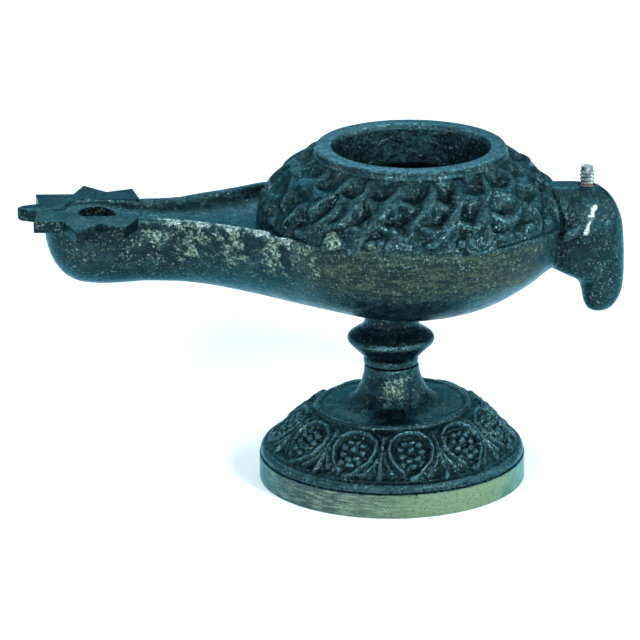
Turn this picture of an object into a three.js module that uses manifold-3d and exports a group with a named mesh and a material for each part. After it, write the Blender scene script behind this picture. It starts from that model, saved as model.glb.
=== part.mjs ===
// Bird-shaped oil lamp in patinated bronze, on a turned foot with a band of leafwork.
// Millimetres, +Z up, nozzle toward -X, bird's head toward +X, the side seen in the photo toward -Y.
// Everything is laid out about the foot's axis, and moved along X at the end so that
// the origin lies under the middle of the whole object.
import * as THREE from 'three';
import Module from 'manifold-3d';
import { mergeVertices } from 'three/addons/utils/BufferGeometryUtils.js';

const wasm = await Module();
wasm.setup();

// Driving dimensions.
const CENTRE_SHIFT = 19.44;
const NOSE_UP_DEGREES = 0.5;
const WALL = 3;
const JOINT_GAP = 0.3;
const JOINT_HEIGHT = 33;

const KNOP_X = -0.5;
const BOWL_X = 4.8;
const RIM_TOP = 96.4;
const RIM_OUTER_RADIUS = 26.4;
const RIM_INNER_RADIUS = 21.5;

const STAR_X = -84;
const STAR_TOP = 78.5;
const STAR_THICKNESS = 3.4;
const WICK_HOLE_X = -82.3;
const WICK_HOLE_RADIUS = 5.15;

const STUD_X = 53.7;
const STUD_RADIUS = 2.05;
const STUD_TOP = 90.5;
const STUD_FOOT = 77;
const STUD_PITCH = 1.05;
const SHELF_HEIGHT = 85.2;

const FEATHERS_ROUND = 22;
const FEATHER_PHASE = 1;
const FEATHER_ROW_STARTS = [3.6, 11.2, 18.0];

const LEAVES_ROUND = 11;
const LEAF_PHASE = 9.3;
const BAND_RADIUS = 37.4;
const BAND_HEIGHT = 6.85;
const DISH_LEAN = 0.022;
const DISH_OFFSET = 0.25;

// Hull, nozzle to breast: x, half width at the wing edge, wing edge height, keel height.
const HULL = [
  [-96.7, 3.6, 75.8, 69.5],
  [-95.6, 6.4, 75.8, 66.0],
  [-93.6, 8.9, 75.8, 62.2],
  [-90.6, 10.9, 76.0, 59.2],
  [-86.5, 12.2, 76.0, 57.5],
  [-81.0, 12.2, 76.5, 57.0],
  [-75.0, 11.2, 77.5, 57.2],
  [-69.0, 10.5, 78.4, 57.6],
  [-61.0, 12.0, 78.3, 57.6],
  [-53.0, 15.5, 78.6, 57.1],
  [-44.5, 19.9, 78.8, 55.8],
  [-36.0, 25.0, 79.0, 54.2],
  [-31.0, 27.2, 77.5, 53.2],
  [-28.0, 29.2, 78.1, 52.6],
  [-23.0, 33.3, 78.0, 51.9],
  [-15.0, 38.3, 77.8, 50.6],
  [-6.0, 41.7, 77.6, 49.2],
  [5.0, 43.3, 77.5, 48.6],
  [13.0, 42.6, 77.5, 49.3],
  [20.0, 40.7, 77.5, 50.6],
  [27.0, 37.4, 77.7, 52.8],
  [33.4, 32.7, 78.2, 55.8],
  [38.5, 27.7, 78.0, 58.8],
  [42.0, 22.8, 77.6, 61.3],
  [44.8, 17.9, 77.4, 62.9],
];

// Channel along the neck: x, half width, depth below the star's top.
const CHANNEL = [
  [-91.4, 2.5, 1.2],
  [-90.2, 5.2, 1.5],
  [-87.5, 7.6, 1.6],
  [-83.0, 8.3, 1.7],
  [-77.0, 8.0, 2.2],
  [-70.0, 7.9, 3.0],
  [-61.0, 9.2, 3.8],
  [-53.0, 12.6, 4.2],
  [-44.5, 16.8, 4.4],
  [-36.0, 21.8, 4.6],
  [-30.0, 24.3, 4.3],
];

// Way for the wick inside the neck, squarish with round corners: x, half width, floor height, roof height.
const WICK_WAY = [
  [-90.0, 5.0, 64.0, 72.0],
  [-86.0, 7.4, 61.0, 73.0],
  [-76.0, 7.4, 60.3, 72.6],
  [-64.0, 7.0, 60.6, 71.8],
  [-52.0, 9.5, 60.2, 71.6],
  [-40.0, 15.0, 58.5, 71.4],
  [-30.0, 20.0, 57.5, 71.4],
  [-22.0, 24.0, 57.0, 71.4],
];

// Head, bill tip to crown: height, front x, back x, half width.
const HEAD = [
  [48.7, 55.9, 58.8, 1.6],
  [49.4, 54.4, 60.5, 3.4],
  [51.5, 53.2, 62.4, 4.8],
  [54.5, 52.6, 63.8, 5.6],
  [57.0, 51.9, 64.2, 6.2],
  [58.6, 50.4, 64.3, 6.8],
  [60.2, 46.9, 64.4, 7.5],
  [62.2, 43.0, 64.4, 8.1],
  [65.0, 40.0, 64.4, 8.9],
  [69.3, 39.0, 64.2, 9.6],
  [73.5, 38.0, 63.9, 9.8],
  [77.5, 38.0, 62.9, 9.2],
  [80.6, 38.0, 61.4, 8.0],
  [83.0, 38.0, 59.5, 6.4],
  [84.5, 38.0, 57.6, 4.8],
  [85.2, 38.0, 56.5, 3.6],
];

// Star outline from the far side of the neck round the nozzle's end to the near side:
// angle from the nozzle's direction, radius. One tooth on the near side is bent down.
const STAR = [
  [144, 16.2], [120.5, 21.5], [104, 15.9], [82, 21.8], [67, 14.4], [38.5, 20.6], [14.5, 15.2], [5, 19.7],
  [0, 20.5], [-5, 19.7], [-14.5, 15.2], [-41.5, 20.5], [-62, 15.4], [-81, 20.9], [-102, 15.5],
  [-116, 22.2], [-143, 16.8],
];
const BENT_TOOTH_ANGLE = -81;
const BENT_TOOTH_DROP = 1;

// One row of feathers: mm below the row's start, then the lift at the middle of a feather,
// a third and two thirds of the way to its edge, and at the edge. Rows are staggered, so that
// the edge of one row lies over the middle of the next.
const FEATHER_RINGS = [
  [0, -0.9, -0.6, 0.6, 1.1],
  [2.6, -0.4, 0.0, 0.8, -0.4],
  [4.9, 0.4, 0.8, 0.9, -0.8],
];

const DOME_PROFILE = [
  [26.9, 94.3],
  [28.6, 93.0],
  [30.9, 91.6],
  [33.4, 89.9],
  [36.0, 87.7],
  [38.5, 85.2],
  [40.6, 82.3],
  [42.1, 79.2],
  [42.9, 76.8],
  [43.0, 75.4],
];

// Foot ornament zone, from under the dish ring down to the moulding.
const ZONE_PROFILE = [
  [22.2, 20.5],
  [24.4, 19.2],
  [26.9, 17.3],
  [29.4, 15.0],
  [32.2, 12.2],
  [35.4, 9.6],
];

// One leaf of the foot, down the zone: share of the way down, half width inside its border, then
// the lift at the middle, half way out, at the border, beyond it, and at the dart between leaves.
const LEAF_ROWS = [
  [0.0, 5.0, 0, 0, 0, 0, 0],
  [0.08, 5.2, 1.0, 0.9, 0.4, -0.9, -0.6],
  [0.17, 5.4, -0.1, 0.2, 1.3, -0.8, 0.3],
  [0.28, 5.7, 0.8, 0.3, 1.7, -0.4, 0.8],
  [0.42, 5.6, 1.5, 1.0, 1.8, -0.2, 1.1],
  [0.55, 4.9, 1.2, 0.5, 1.6, 0.0, 1.2],
  [0.68, 3.8, 0.1, 0.5, 1.3, 0.1, 1.1],
  [0.80, 2.4, 0.5, 0.8, 1.0, 0.1, 0.9],
  [0.92, 0.9, 0.6, 0.5, 0.4, 0.0, 0.4],
  [1.0, 0.9, 0, 0, 0, 0, 0],
];

const bronze = () => new THREE.MeshStandardMaterial({ color: 0x2f4743, roughness: 0.42, metalness: 0.85 });
const steel = () => new THREE.MeshStandardMaterial({ color: 0x8d8f8c, roughness: 0.4, metalness: 0.95 });

const radians = (degrees) => (degrees * Math.PI) / 180;
const clamp01 = (v) => Math.min(1, Math.max(0, v));

function solidOf(geometry) {
  const plain = geometry.clone();
  plain.deleteAttribute('normal');
  plain.deleteAttribute('uv');
  const merged = mergeVertices(plain, 1e-4);
  return new wasm.Manifold(new wasm.Mesh({
    numProp: 3,
    vertProperties: merged.attributes.position.array,
    triVerts: new Uint32Array(merged.index.array),
  }));
}

function geometryOf(solid) {
  const mesh = solid.getMesh();
  const geometry = new THREE.BufferGeometry();
  geometry.setAttribute('position', new THREE.BufferAttribute(mesh.vertProperties, 3));
  geometry.setIndex(new THREE.BufferAttribute(mesh.triVerts, 1));
  const flat = geometry.toNonIndexed();
  flat.computeVertexNormals();
  return flat;
}

// A closed body through rings of equally many points, with a fan at each end.
function loft(rings) {
  const count = rings[0].length;
  const positions = rings.flat().flat();
  const index = [];
  for (let r = 0; r + 1 < rings.length; r += 1) {
    for (let i = 0; i < count; i += 1) {
      const j = (i + 1) % count;
      const a = r * count + i;
      const b = r * count + j;
      index.push(a, b, b + count, a, b + count, a + count);
    }
  }
  const capped = (ring, turned) => {
    const middle = positions.length / 3;
    for (let axis = 0; axis < 3; axis += 1) {
      positions.push(ring.reduce((sum, p) => sum + p[axis], 0) / count);
    }
    const first = rings.indexOf(ring) * count;
    for (let i = 0; i < count; i += 1) {
      const a = first + i;
      const b = first + ((i + 1) % count);
      index.push(...(turned ? [middle, a, b] : [middle, b, a]));
    }
  };
  capped(rings[0], false);
  capped(rings[rings.length - 1], true);
  const geometry = new THREE.BufferGeometry();
  geometry.setAttribute('position', new THREE.Float32BufferAttribute(positions, 3));
  geometry.setIndex(index);
  return geometry;
}

// A turned body about a vertical axis; the profile runs from axis to axis, bottom to top outside.
function turned(profile, segments, x = 0) {
  const points = profile.map(([radius, z]) => new THREE.Vector2(radius, z));
  return new THREE.LatheGeometry(points, segments).rotateX(Math.PI / 2).translate(x, 0, 0);
}

// One ring about a vertical axis, from [angle, radius, height] points.
const ringAbout = (points) => points.map(([angle, radius, z]) => [
  radius * Math.sin(radians(angle)), -radius * Math.cos(radians(angle)), z]);

// Point and outward direction at a distance along a profile of [radius, height] points.
function along(profile, distance) {
  let left = distance;
  for (let i = 0; i + 1 < profile.length; i += 1) {
    const [r0, z0] = profile[i];
    const [r1, z1] = profile[i + 1];
    const length = Math.hypot(r1 - r0, z1 - z0);
    if (left <= length || i + 2 === profile.length) {
      const t = left / length;
      return {
        radius: r0 + (r1 - r0) * t,
        z: z0 + (z1 - z0) * t,
        outR: (z0 - z1) / length,
        outZ: (r1 - r0) / length,
      };
    }
    left -= length;
  }
  return null;
}

const lengthOf = (profile) => profile.slice(1).reduce(
  (sum, [r, z], i) => sum + Math.hypot(r - profile[i][0], z - profile[i][1]), 0);

const DOME_LENGTH = lengthOf(DOME_PROFILE);
const ZONE_LENGTH = lengthOf(ZONE_PROFILE);
const FEATHER_PITCH = 360 / FEATHERS_ROUND;
const LEAF_PITCH = 360 / LEAVES_ROUND;

// Hull, with its wing edge; an inset gives the hollow inside it.
function hullRings(inset) {
  const stations = inset ? HULL.filter(([x], i) => x > -32 && x < 43 && i % 2) : HULL;
  const steps = inset ? 10 : 14;
  return stations.map(([x, halfWidth, edge, keel]) => {
    const half = halfWidth - inset;
    const top = inset ? edge - 2.4 : edge;
    const depth = top - keel - inset;
    const round = THREE.MathUtils.mapLinear(clamp01(half / 25), 0, 1, 2.5, 2.05);
    const lower = [];
    for (let i = 0; i <= steps; i += 1) {
      const turn = (Math.PI * i) / steps;
      const y = -Math.sign(Math.cos(turn)) * half * Math.abs(Math.cos(turn)) ** (2 / round);
      lower.push([x, y, top - 0.7 - (depth - 0.7) * Math.sin(turn) ** (2 / round)]);
    }
    return [...lower, [x, half - 0.7, top], [x, 0.7 - half, top]];
  });
}

function channelRings() {
  return CHANNEL.map(([x, half, depth]) => {
    const ring = [];
    for (let i = 0; i <= 10; i += 1) {
      const turn = (Math.PI * i) / 10;
      ring.push([x, -half * Math.cos(turn), STAR_TOP - depth * Math.sin(turn) ** 0.8]);
    }
    return [...ring, [x, half + 0.6, STAR_TOP + 4], [x, -half - 0.6, STAR_TOP + 4]];
  });
}

function wickWayRings() {
  return WICK_WAY.map(([x, half, floor, roof]) => {
    const ring = [];
    for (let i = 0; i < 16; i += 1) {
      const turn = (Math.PI * 2 * i) / 16;
      const y = -half * Math.sign(Math.cos(turn)) * Math.abs(Math.cos(turn)) ** 0.65;
      const rise = Math.sign(Math.sin(turn)) * Math.abs(Math.sin(turn)) ** 0.65;
      ring.push([x, y, (floor + roof) / 2 - ((roof - floor) / 2) * rise]);
    }
    return ring;
  });
}

function headRings() {
  return HEAD.map(([z, front, back, half]) => {
    const ring = [];
    for (let i = 0; i < 16; i += 1) {
      const turn = (Math.PI * 2 * i) / 16;
      const x = (front + back) / 2 + ((back - front) / 2) * Math.cos(turn);
      const y = half * Math.sign(Math.sin(turn)) * Math.abs(Math.sin(turn)) ** 0.85;
      ring.push([x, y, z]);
    }
    return ring;
  });
}

function starPlate() {
  const outline = STAR.map(([angle, radius]) => [
    STAR_X - radius * Math.cos(radians(angle)),
    radius * Math.sin(radians(angle)),
    STAR_TOP - (angle === BENT_TOOTH_ANGLE ? BENT_TOOTH_DROP : 0),
  ]);
  const under = outline.map(([x, y, z]) => [x, y, z - STAR_THICKNESS]);
  const flat = outline.map(([x, y]) => new THREE.Vector2(x, y));
  const faces = THREE.ShapeUtils.triangulateShape(flat, []);
  const count = outline.length;
  const index = faces.flatMap(([a, b, c]) => [a, b, c, c + count, b + count, a + count]);
  for (let i = 0; i < count; i += 1) {
    const j = (i + 1) % count;
    index.push(i, i + count, j + count, i, j + count, j);
  }
  const geometry = new THREE.BufferGeometry();
  geometry.setAttribute('position', new THREE.Float32BufferAttribute([...outline, ...under].flat(), 3));
  geometry.setIndex(index);
  return geometry;
}

function featheredDome() {
  const perFeather = 6;
  const count = FEATHERS_ROUND * perFeather;
  const angles = Array.from({ length: count }, (_, i) => (i * FEATHER_PITCH) / perFeather + FEATHER_PHASE);
  const ring = (down, liftOf) => {
    const at = along(DOME_PROFILE, down);
    return angles.map((angle, i) => [angle, at.radius + at.outR * liftOf(i), at.z + at.outZ * liftOf(i)]);
  };
  const rings = [ring(0, () => 0)];
  FEATHER_ROW_STARTS.forEach((start, row) => {
    for (const [below, ...lifts] of FEATHER_RINGS) {
      if (start + below > DOME_LENGTH - 1) break;
      rings.push(ring(start + below, (i) => {
        const column = (i + (row % 2) * (perFeather / 2)) % perFeather;
        const lift = lifts[Math.min(column, perFeather - column)];
        return row || below ? lift : Math.min(lift, 0);
      }));
    }
  });
  rings.push(ring(DOME_LENGTH, () => 0));
  const plain = (radius, z) => angles.map((angle) => [angle, radius, z]);
  const all = [plain(38, 73), ...rings.reverse(), plain(24, 94.4)];
  return loft(all.map(ringAbout)).translate(BOWL_X, 0, 0);
}

function lampBody() {
  const collar = turned([
    [0, 92], [25.8, 92], [27.2, 94.1], [26.9, 94.9], [RIM_OUTER_RADIUS, 95.7], [RIM_OUTER_RADIUS, RIM_TOP],
    [0, RIM_TOP],
  ], 48, BOWL_X);
  const knop = turned([
    [0, JOINT_HEIGHT + JOINT_GAP / 2], [7.6, JOINT_HEIGHT + JOINT_GAP / 2], [7.7, 34.5], [7.5, 35.2],
    [8.9, 36.6], [10.7, 38.4], [12.0, 39.7], [12.3, 40.5], [12.0, 41.4], [10.6, 42.4],
    [8.6, 43.6], [7.5, 45.2], [7.3, 47.6], [8.6, 50.5], [0, 54],
  ], 28, KNOP_X);
  const bowl = turned([
    [0, 72], [38.6, 72], [39.2, 75.5], [36.5, 79.5], [30, 82.2], [22.4, 83.6], [20.9, 85.2],
    [RIM_INNER_RADIUS, 95.2], [RIM_INNER_RADIUS + 0.9, RIM_TOP], [RIM_INNER_RADIUS + 0.9, RIM_TOP + 2],
    [0, RIM_TOP + 2],
  ], 36, BOWL_X);
  const wickHole = turned([
    [0, 66], [WICK_HOLE_RADIUS, 66], [WICK_HOLE_RADIUS, STAR_TOP + 3], [0, STAR_TOP + 3],
  ], 20, WICK_HOLE_X);
  const studBore = turned([
    [0, STUD_FOOT - JOINT_GAP], [STUD_RADIUS + JOINT_GAP, STUD_FOOT - JOINT_GAP],
    [STUD_RADIUS + JOINT_GAP, SHELF_HEIGHT + 2], [0, SHELF_HEIGHT + 2],
  ], 16, STUD_X);
  const tufts = [-1, 1].map((side) => new THREE.SphereGeometry(1, 10, 6)
    .scale(5.4, 2.6, 2.7)
    .rotateY(radians(-24))
    .rotateZ(radians(side * -6))
    .translate(48.6, side * 8.2, 74));

  let body = solidOf(loft(hullRings(0))).add(solidOf(starPlate()));
  body = body.subtract(solidOf(loft(channelRings())));
  for (const piece of [featheredDome(), collar, knop, loft(headRings()), ...tufts]) {
    body = body.add(solidOf(piece));
  }
  for (const hollow of [bowl, loft(hullRings(WALL)), loft(wickWayRings()), wickHole, studBore]) {
    body = body.subtract(solidOf(hollow));
  }
  return body;
}

// Ring of leaves round the foot's slope.
function leafZone() {
  const halfPitch = LEAF_PITCH / 2;
  const rings = LEAF_ROWS.map(([share, halfWidth, ...lifts]) => {
    const at = along(ZONE_PROFILE, share * ZONE_LENGTH);
    const border = halfWidth / radians(1) / at.radius;
    const offsets = [0, border / 2, border, (border + halfPitch) / 2, halfPitch];
    const points = [];
    for (let leaf = 0; leaf < LEAVES_ROUND; leaf += 1) {
      for (let column = -3; column <= 4; column += 1) {
        const lift = lifts[Math.abs(column)];
        const angle = LEAF_PHASE + leaf * LEAF_PITCH + Math.sign(column) * offsets[Math.abs(column)];
        points.push([angle, at.radius + at.outR * lift, at.z + at.outZ * lift]);
      }
    }
    return points;
  });
  const plain = (radius, z) => rings[0].map(([angle]) => [angle, radius, z]);
  return loft([plain(32, 8.6), ...rings.reverse(), plain(20, 19.6)].map(ringAbout));
}

function foot() {
  const shell = turned([
    [0, 0], [BAND_RADIUS, 0], [BAND_RADIUS, BAND_HEIGHT], [36.7, BAND_HEIGHT + 0.1],
    [37.1, 7.5], [37.0, 8.5], [36.3, 9.4], [35.2, 9.4], [22.2, 19.6],
    [22.1, 21.0], [21.4, 21.7], [20.6, 21.6], [19.8, 21.0], [17.4, 21.0], [14.4, 21.6],
    [11.6, 23.2], [9.9, 25.2], [8.7, 27.6], [7.9, 30.4],
    [7.6, JOINT_HEIGHT - JOINT_GAP / 2], [0, JOINT_HEIGHT - JOINT_GAP / 2],
  ], 48);
  const underside = turned([
    [0, -2], [33.4, -2], [33.4, 5.0], [31.4, 8.4], [26.4, 13.2], [20.5, 16.8], [8, 17.4], [0, 17.4],
  ], 32);
  return solidOf(shell).add(solidOf(leafZone())).subtract(solidOf(underside));
}

// The foot is not quite true: between its moulding and its stem it leans and sits off its axis.
function leanDish(geometry) {
  const points = geometry.attributes.position;
  for (let i = 0; i < points.count; i += 1) {
    const x = points.getX(i);
    const z = points.getZ(i);
    const share = Math.min(clamp01((z - 9.4) / 9), clamp01((JOINT_HEIGHT - 1 - z) / 9));
    points.setXYZ(i, x + DISH_OFFSET * share, points.getY(i), z + DISH_LEAN * x * share);
  }
  geometry.computeVertexNormals();
}

function threadedStud() {
  const profile = [[0, STUD_FOOT], [STUD_RADIUS - 0.3, STUD_FOOT], [STUD_RADIUS - 0.3, SHELF_HEIGHT - 1]];
  for (let z = SHELF_HEIGHT - 0.5; z < STUD_TOP - 0.6; z += STUD_PITCH) {
    profile.push([STUD_RADIUS, z], [STUD_RADIUS - 0.3, z + STUD_PITCH / 2]);
  }
  profile.push([STUD_RADIUS - 0.8, STUD_TOP - 0.1], [0, STUD_TOP]);
  return solidOf(turned(profile, 10, STUD_X));
}

// The whole: the body sits a little nose-up on its foot.
const lamp = new THREE.Group();
for (const [name, solid, lean, material] of [
  ['lamp_body', lampBody(), NOSE_UP_DEGREES, bronze()],
  ['foot', foot(), 0, bronze()],
  ['threaded_stud', threadedStud(), NOSE_UP_DEGREES, steel()],
]) {
  const geometry = geometryOf(solid);
  if (name === 'foot') leanDish(geometry);
  const mesh = new THREE.Mesh(geometry.rotateY(radians(lean)).translate(CENTRE_SHIFT, 0, 0), material);
  mesh.name = name;
  lamp.add(mesh);
}

export default lamp;
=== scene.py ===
"""Bird-shaped oil lamp in patinated bronze: the cast lamp, its turned foot, a threaded stud, and the stage.

Shapes are laid out in millimetres about the foot's axis, as in the solids, and put in place in metres.
"""

import math

import bpy
import numpy as np
from bpy.props import FloatProperty, FloatVectorProperty, PointerProperty
from bpy.types import Operator, Panel, PropertyGroup
from mathutils import Matrix, Vector


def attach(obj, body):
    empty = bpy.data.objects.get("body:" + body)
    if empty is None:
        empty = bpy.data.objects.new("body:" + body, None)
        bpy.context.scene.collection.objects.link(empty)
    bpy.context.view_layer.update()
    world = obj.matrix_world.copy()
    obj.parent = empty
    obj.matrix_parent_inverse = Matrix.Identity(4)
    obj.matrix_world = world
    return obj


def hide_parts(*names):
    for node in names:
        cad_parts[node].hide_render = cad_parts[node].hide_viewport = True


bl_info = {
    "name": "Bird lamp",
    "version": (1, 0, 0),
    "blender": (4, 5, 0),
    "location": "View3D > Sidebar > Bird lamp",
    "description": "Dresses the bird-shaped oil lamp and sets its stage",
    "category": "Object",
}

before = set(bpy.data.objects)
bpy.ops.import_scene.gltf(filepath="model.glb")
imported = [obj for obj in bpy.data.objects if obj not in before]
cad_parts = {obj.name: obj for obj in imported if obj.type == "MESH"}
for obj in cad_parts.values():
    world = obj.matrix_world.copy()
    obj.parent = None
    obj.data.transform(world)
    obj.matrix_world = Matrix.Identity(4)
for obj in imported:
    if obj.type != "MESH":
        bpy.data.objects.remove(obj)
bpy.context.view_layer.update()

MM = 0.001
CENTRE_SHIFT = 19.44
NOSE_UP = math.radians(0.5)
STEM_X = -0.5
BOWL_X = 4.8
RIM_TOP = 96.4
STAR_X = -84.0
STAR_TOP = 78.5
STAR_THICKNESS = 3.4
WICK_HOLE_X = -82.3
STUD_X = 53.7
SHELF_HEIGHT = 85.2
# The hull's hollow: thickness of the wall, and where along the hull it may reach.
WALL = 3.0
HOLLOW_ENDS = (-30, 43)

# What the materials read at each point, from 0 to 1.
MARKS = ("crest", "hollow", "pale", "olive", "edge", "comb", "band", "chip")

# The view: pixels across, mm to a pixel, the foot's column, height aimed at and distance in mm, angles.
VIEW_WIDTH = 640
PIXEL = 0.28
FOOT_COLUMN = 392.8
AIM_HEIGHT = 45.7
VIEW_DISTANCE = 1400
VIEW_RISE = math.radians(18.2)
VIEW_ROLL = math.radians(-0.5)
SENSOR_WIDTH = 36

# The dome's feathers over half a turn, the other half being alike. Angles run from the near side
# towards the head, in degrees; the second number is the distance down the dome, in mm.
# Ridges: height, half width, and the points they pass through.
FEATHER_RIDGES = (
    (1.2, 1.7, ((76, 0.6), (76.5, 4), (74, 7), (68, 9))),
    (1.4, 1.7, ((59.5, 0.6), (60, 4), (58, 6.5), (53, 8.5))),
    (1.3, 1.7, ((42.5, 0.6), (41.8, 4), (39.5, 6.5), (35.5, 8.8))),
    (1.3, 2, ((26, 0.6), (24, 5), (21.5, 8.5), (18.5, 12), (15, 15), (12, 17.5), (9.5, 19.5))),
    (1.5, 1.7, ((9.8, 0.6), (9, 5), (7.3, 8), (5, 10.8), (2, 13.5), (-0.5, 15.8), (-1.2, 17.8))),
    (1.2, 1.9, ((-7, 0.6), (-8, 5), (-10.5, 8.2), (-13, 10.5), (-15.5, 13.5), (-17, 16.5))),
    (1.1, 1.7, ((-24, 0.6), (-24.5, 5), (-26.5, 8), (-28, 11), (-29, 14), (-30.5, 16.5), (-34, 18.3))),
    (1, 1.5, ((-37, 0.6), (-37.8, 5), (-40, 8.2), (-43, 9.8), (-46.5, 13), (-47, 15))),
    (1, 1.5, ((-55.5, 0.6), (-55, 5), (-57, 8), (-60, 9.3), (-64, 9))),
    (1.1, 1.5, ((-77, 0.6), (-77, 5), (-73, 8.2), (-69.5, 10.3), (-66.5, 12.5), (-65.5, 16))),
    (1.1, 1.5, ((-88, 8.5), (-85.5, 12.5), (-82, 15.3), (-77, 17.3), (-75.5, 19.5), (-76.5, 23))),
    (1.3, 1.8, ((33.5, 8.5), (32.8, 11.5), (30, 14.5), (25, 17))),
    (1.4, 1.8, ((43, 7), (47, 8.3), (50, 10), (50, 12.5), (48, 15), (43.5, 16.8), (40, 16.3))),
    (1.4, 1.8, ((60, 7), (64, 8.5), (67.5, 10.5), (66.8, 13.2), (63, 15.5), (58, 16))),
    (1.3, 1.6, ((76, 7.5), (82, 9.3), (84, 12), (82, 15), (76, 16.5))),
    (1.2, 1.5, ((51, 12.8), (55, 14.2), (57.6, 16.5), (57.8, 19), (56, 22))),
    (1.2, 1.5, ((68, 13.5), (72, 15), (74.5, 17.5), (74, 20), (72, 22.5))),
    (1.1, 1.5, ((-34, 9.4), (-34.3, 12.5), (-37, 15), (-40.3, 17.8))),
    (0.9, 1.3, ((-50, 13.6), (-54, 14.8), (-55, 17), (-56.5, 19.5), (-57.5, 23))),
    (0.8, 1.8, ((-17.3, 10.3), (-17.3, 12.8), (-19, 15), (-21.5, 16.5))),
    (0.8, 1.6, ((-8, 6.8), (-4.5, 8.3), (-1.5, 9.5), (3, 10))),
    (0.8, 1.6, ((-24.5, 6.8), (-20, 8.7), (-15, 9.8))),
    (0.8, 1.6, ((-38, 6.8), (-35, 8.8), (-30, 9.8))),
    (0.8, 1.6, ((-55, 6.6), (-52, 8.6), (-47, 9.8), (-43, 9.8))),
    (0.7, 1.6, ((9, 6.8), (12.5, 9), (15.5, 10.8))),
    (0.8, 1.6, ((25, 6.6), (29, 8.2), (33, 8.8))),
    (0.8, 1.5, ((1.5, 14.5), (5.5, 16.4), (10, 17.3))),
    (0.8, 1.5, ((-15, 14), (-12, 16), (-8, 17))),
    (0.8, 1.4, ((17, 13.5), (21, 15.8), (25, 17))),
    (0.8, 1.4, ((32.8, 12.5), (36.5, 15), (40, 16.3))),
    (0.8, 1.3, ((18.5, 20.5), (20.5, 23), (24.5, 24.5), (29, 23.3), (31.5, 20.3), (30.6, 17.6))),
)

# Pits: angle, distance down, half width along the angle in mm, half length, depth.
FEATHER_PITS = (
    (-84, 4.5, 2.4, 2.2, 1), (-66, 4.2, 2.6, 2.4, 1.2), (-48, 5, 2.8, 2.5, 1.3),
    (-32, 5.3, 2.9, 2.4, 1.5), (-16.5, 4.6, 2.8, 2.3, 1.6), (0.5, 4.8, 2.4, 2.6, 1.5),
    (16.5, 5.2, 2.2, 3, 1.3), (33, 4.6, 2.2, 2.6, 1), (50.5, 4.6, 2.4, 2.4, 1.1),
    (68, 4.6, 2.2, 2.4, 1), (84, 4.6, 2, 2.4, 1), (-76, 13, 2.4, 2.2, 1.1),
    (-59, 12.6, 2.8, 2.2, 1.2), (-41, 12.4, 2.4, 2, 1.5), (-23.6, 12.7, 2.6, 2.3, 1.7),
    (-6.6, 12.6, 2.6, 2.8, 1.7), (9.5, 12.6, 2, 2.6, 1.3), (25, 12.3, 2.2, 2.2, 1.4),
    (41, 12.2, 2.6, 2.4, 1.2), (58.5, 11.8, 2.2, 2.2, 1.1), (76, 12.2, 2.2, 2.2, 1.1),
    (-68.5, 18.4, 3, 1.8, 1.2), (-49.5, 17.4, 2.6, 2.2, 1.4), (-33, 18.4, 3.2, 1, 1),
    (-14.5, 18, 2.6, 1.1, 1.3), (2.8, 18.6, 2.2, 1.5, 1.1), (20.5, 18.2, 1.6, 1.4, 1.1),
    (34.5, 17.6, 1.6, 1.3, 1), (46.5, 18.9, 2.4, 1.2, 1.1), (65, 18.6, 2.6, 1.6, 1.1),
)

# Balls and blunt tips: angle, distance down, half width in mm, half length, height.
FEATHER_BALLS = (
    (-31.5, 21.9, 3.7, 2.6, 1.6), (-16.4, 20.9, 1.9, 1.5, 1.2), (-23.6, 17.2, 2.3, 1.5, 1.3),
    (-8.2, 16.8, 1.1, 1.8, 1.1), (-1, 16.4, 1.1, 1.7, 1.5), (7.2, 20.7, 2.1, 1.3, 1.5),
    (18.6, 20.8, 1.7, 1.4, 1.5), (34.4, 20.8, 1.9, 1.5, 1.4), (38, 20.6, 2.6, 1.9, 0.9),
    (50.4, 19.9, 2.2, 1.5, 1.1), (26.5, 16.6, 1.7, 1.3, 1.5), (12.6, 16.4, 1.7, 1.7, 1.5),
    (-9.2, 21.2, 0.9, 2, 0.9), (-1.2, 21.6, 0.9, 2.4, 0.9), (-48, 21.5, 2.4, 1.6, 0.8),
    (66, 21.2, 2.6, 1.6, 1), (-67, 21.8, 2.8, 1.5, 0.8), (84, 19.6, 2.4, 1.8, 1),
    (-85, 20, 2.4, 1.8, 1),
)

# Flat tongues at the lower edge: angle, half width in mm, start and end down the dome, height.
FEATHER_TONGUES = (
    (-23.2, 3.1, 17, 26.6, 0.75), (-5.1, 3.2, 17.4, 25.9, 0.6), (11.5, 4.4, 23.2, 26.8, 0.7),
    (25, 3.6, 18.6, 24.4, 0.35), (37.5, 3, 18.8, 23.6, 0.5), (-40, 2.8, 17.5, 24, 0.45),
    (52, 3.4, 18.5, 23.6, 0.5), (68, 3.4, 18.5, 24, 0.5), (-60, 3.4, 18.5, 24, 0.4),
    (-84, 3.4, 18, 24.5, 0.5), (86, 3.4, 18, 24, 0.5),
)

LEAVES_ROUND = 11
LEAF_PHASE = 9.3
LEAF_PITCH = 360 / LEAVES_ROUND

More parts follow.
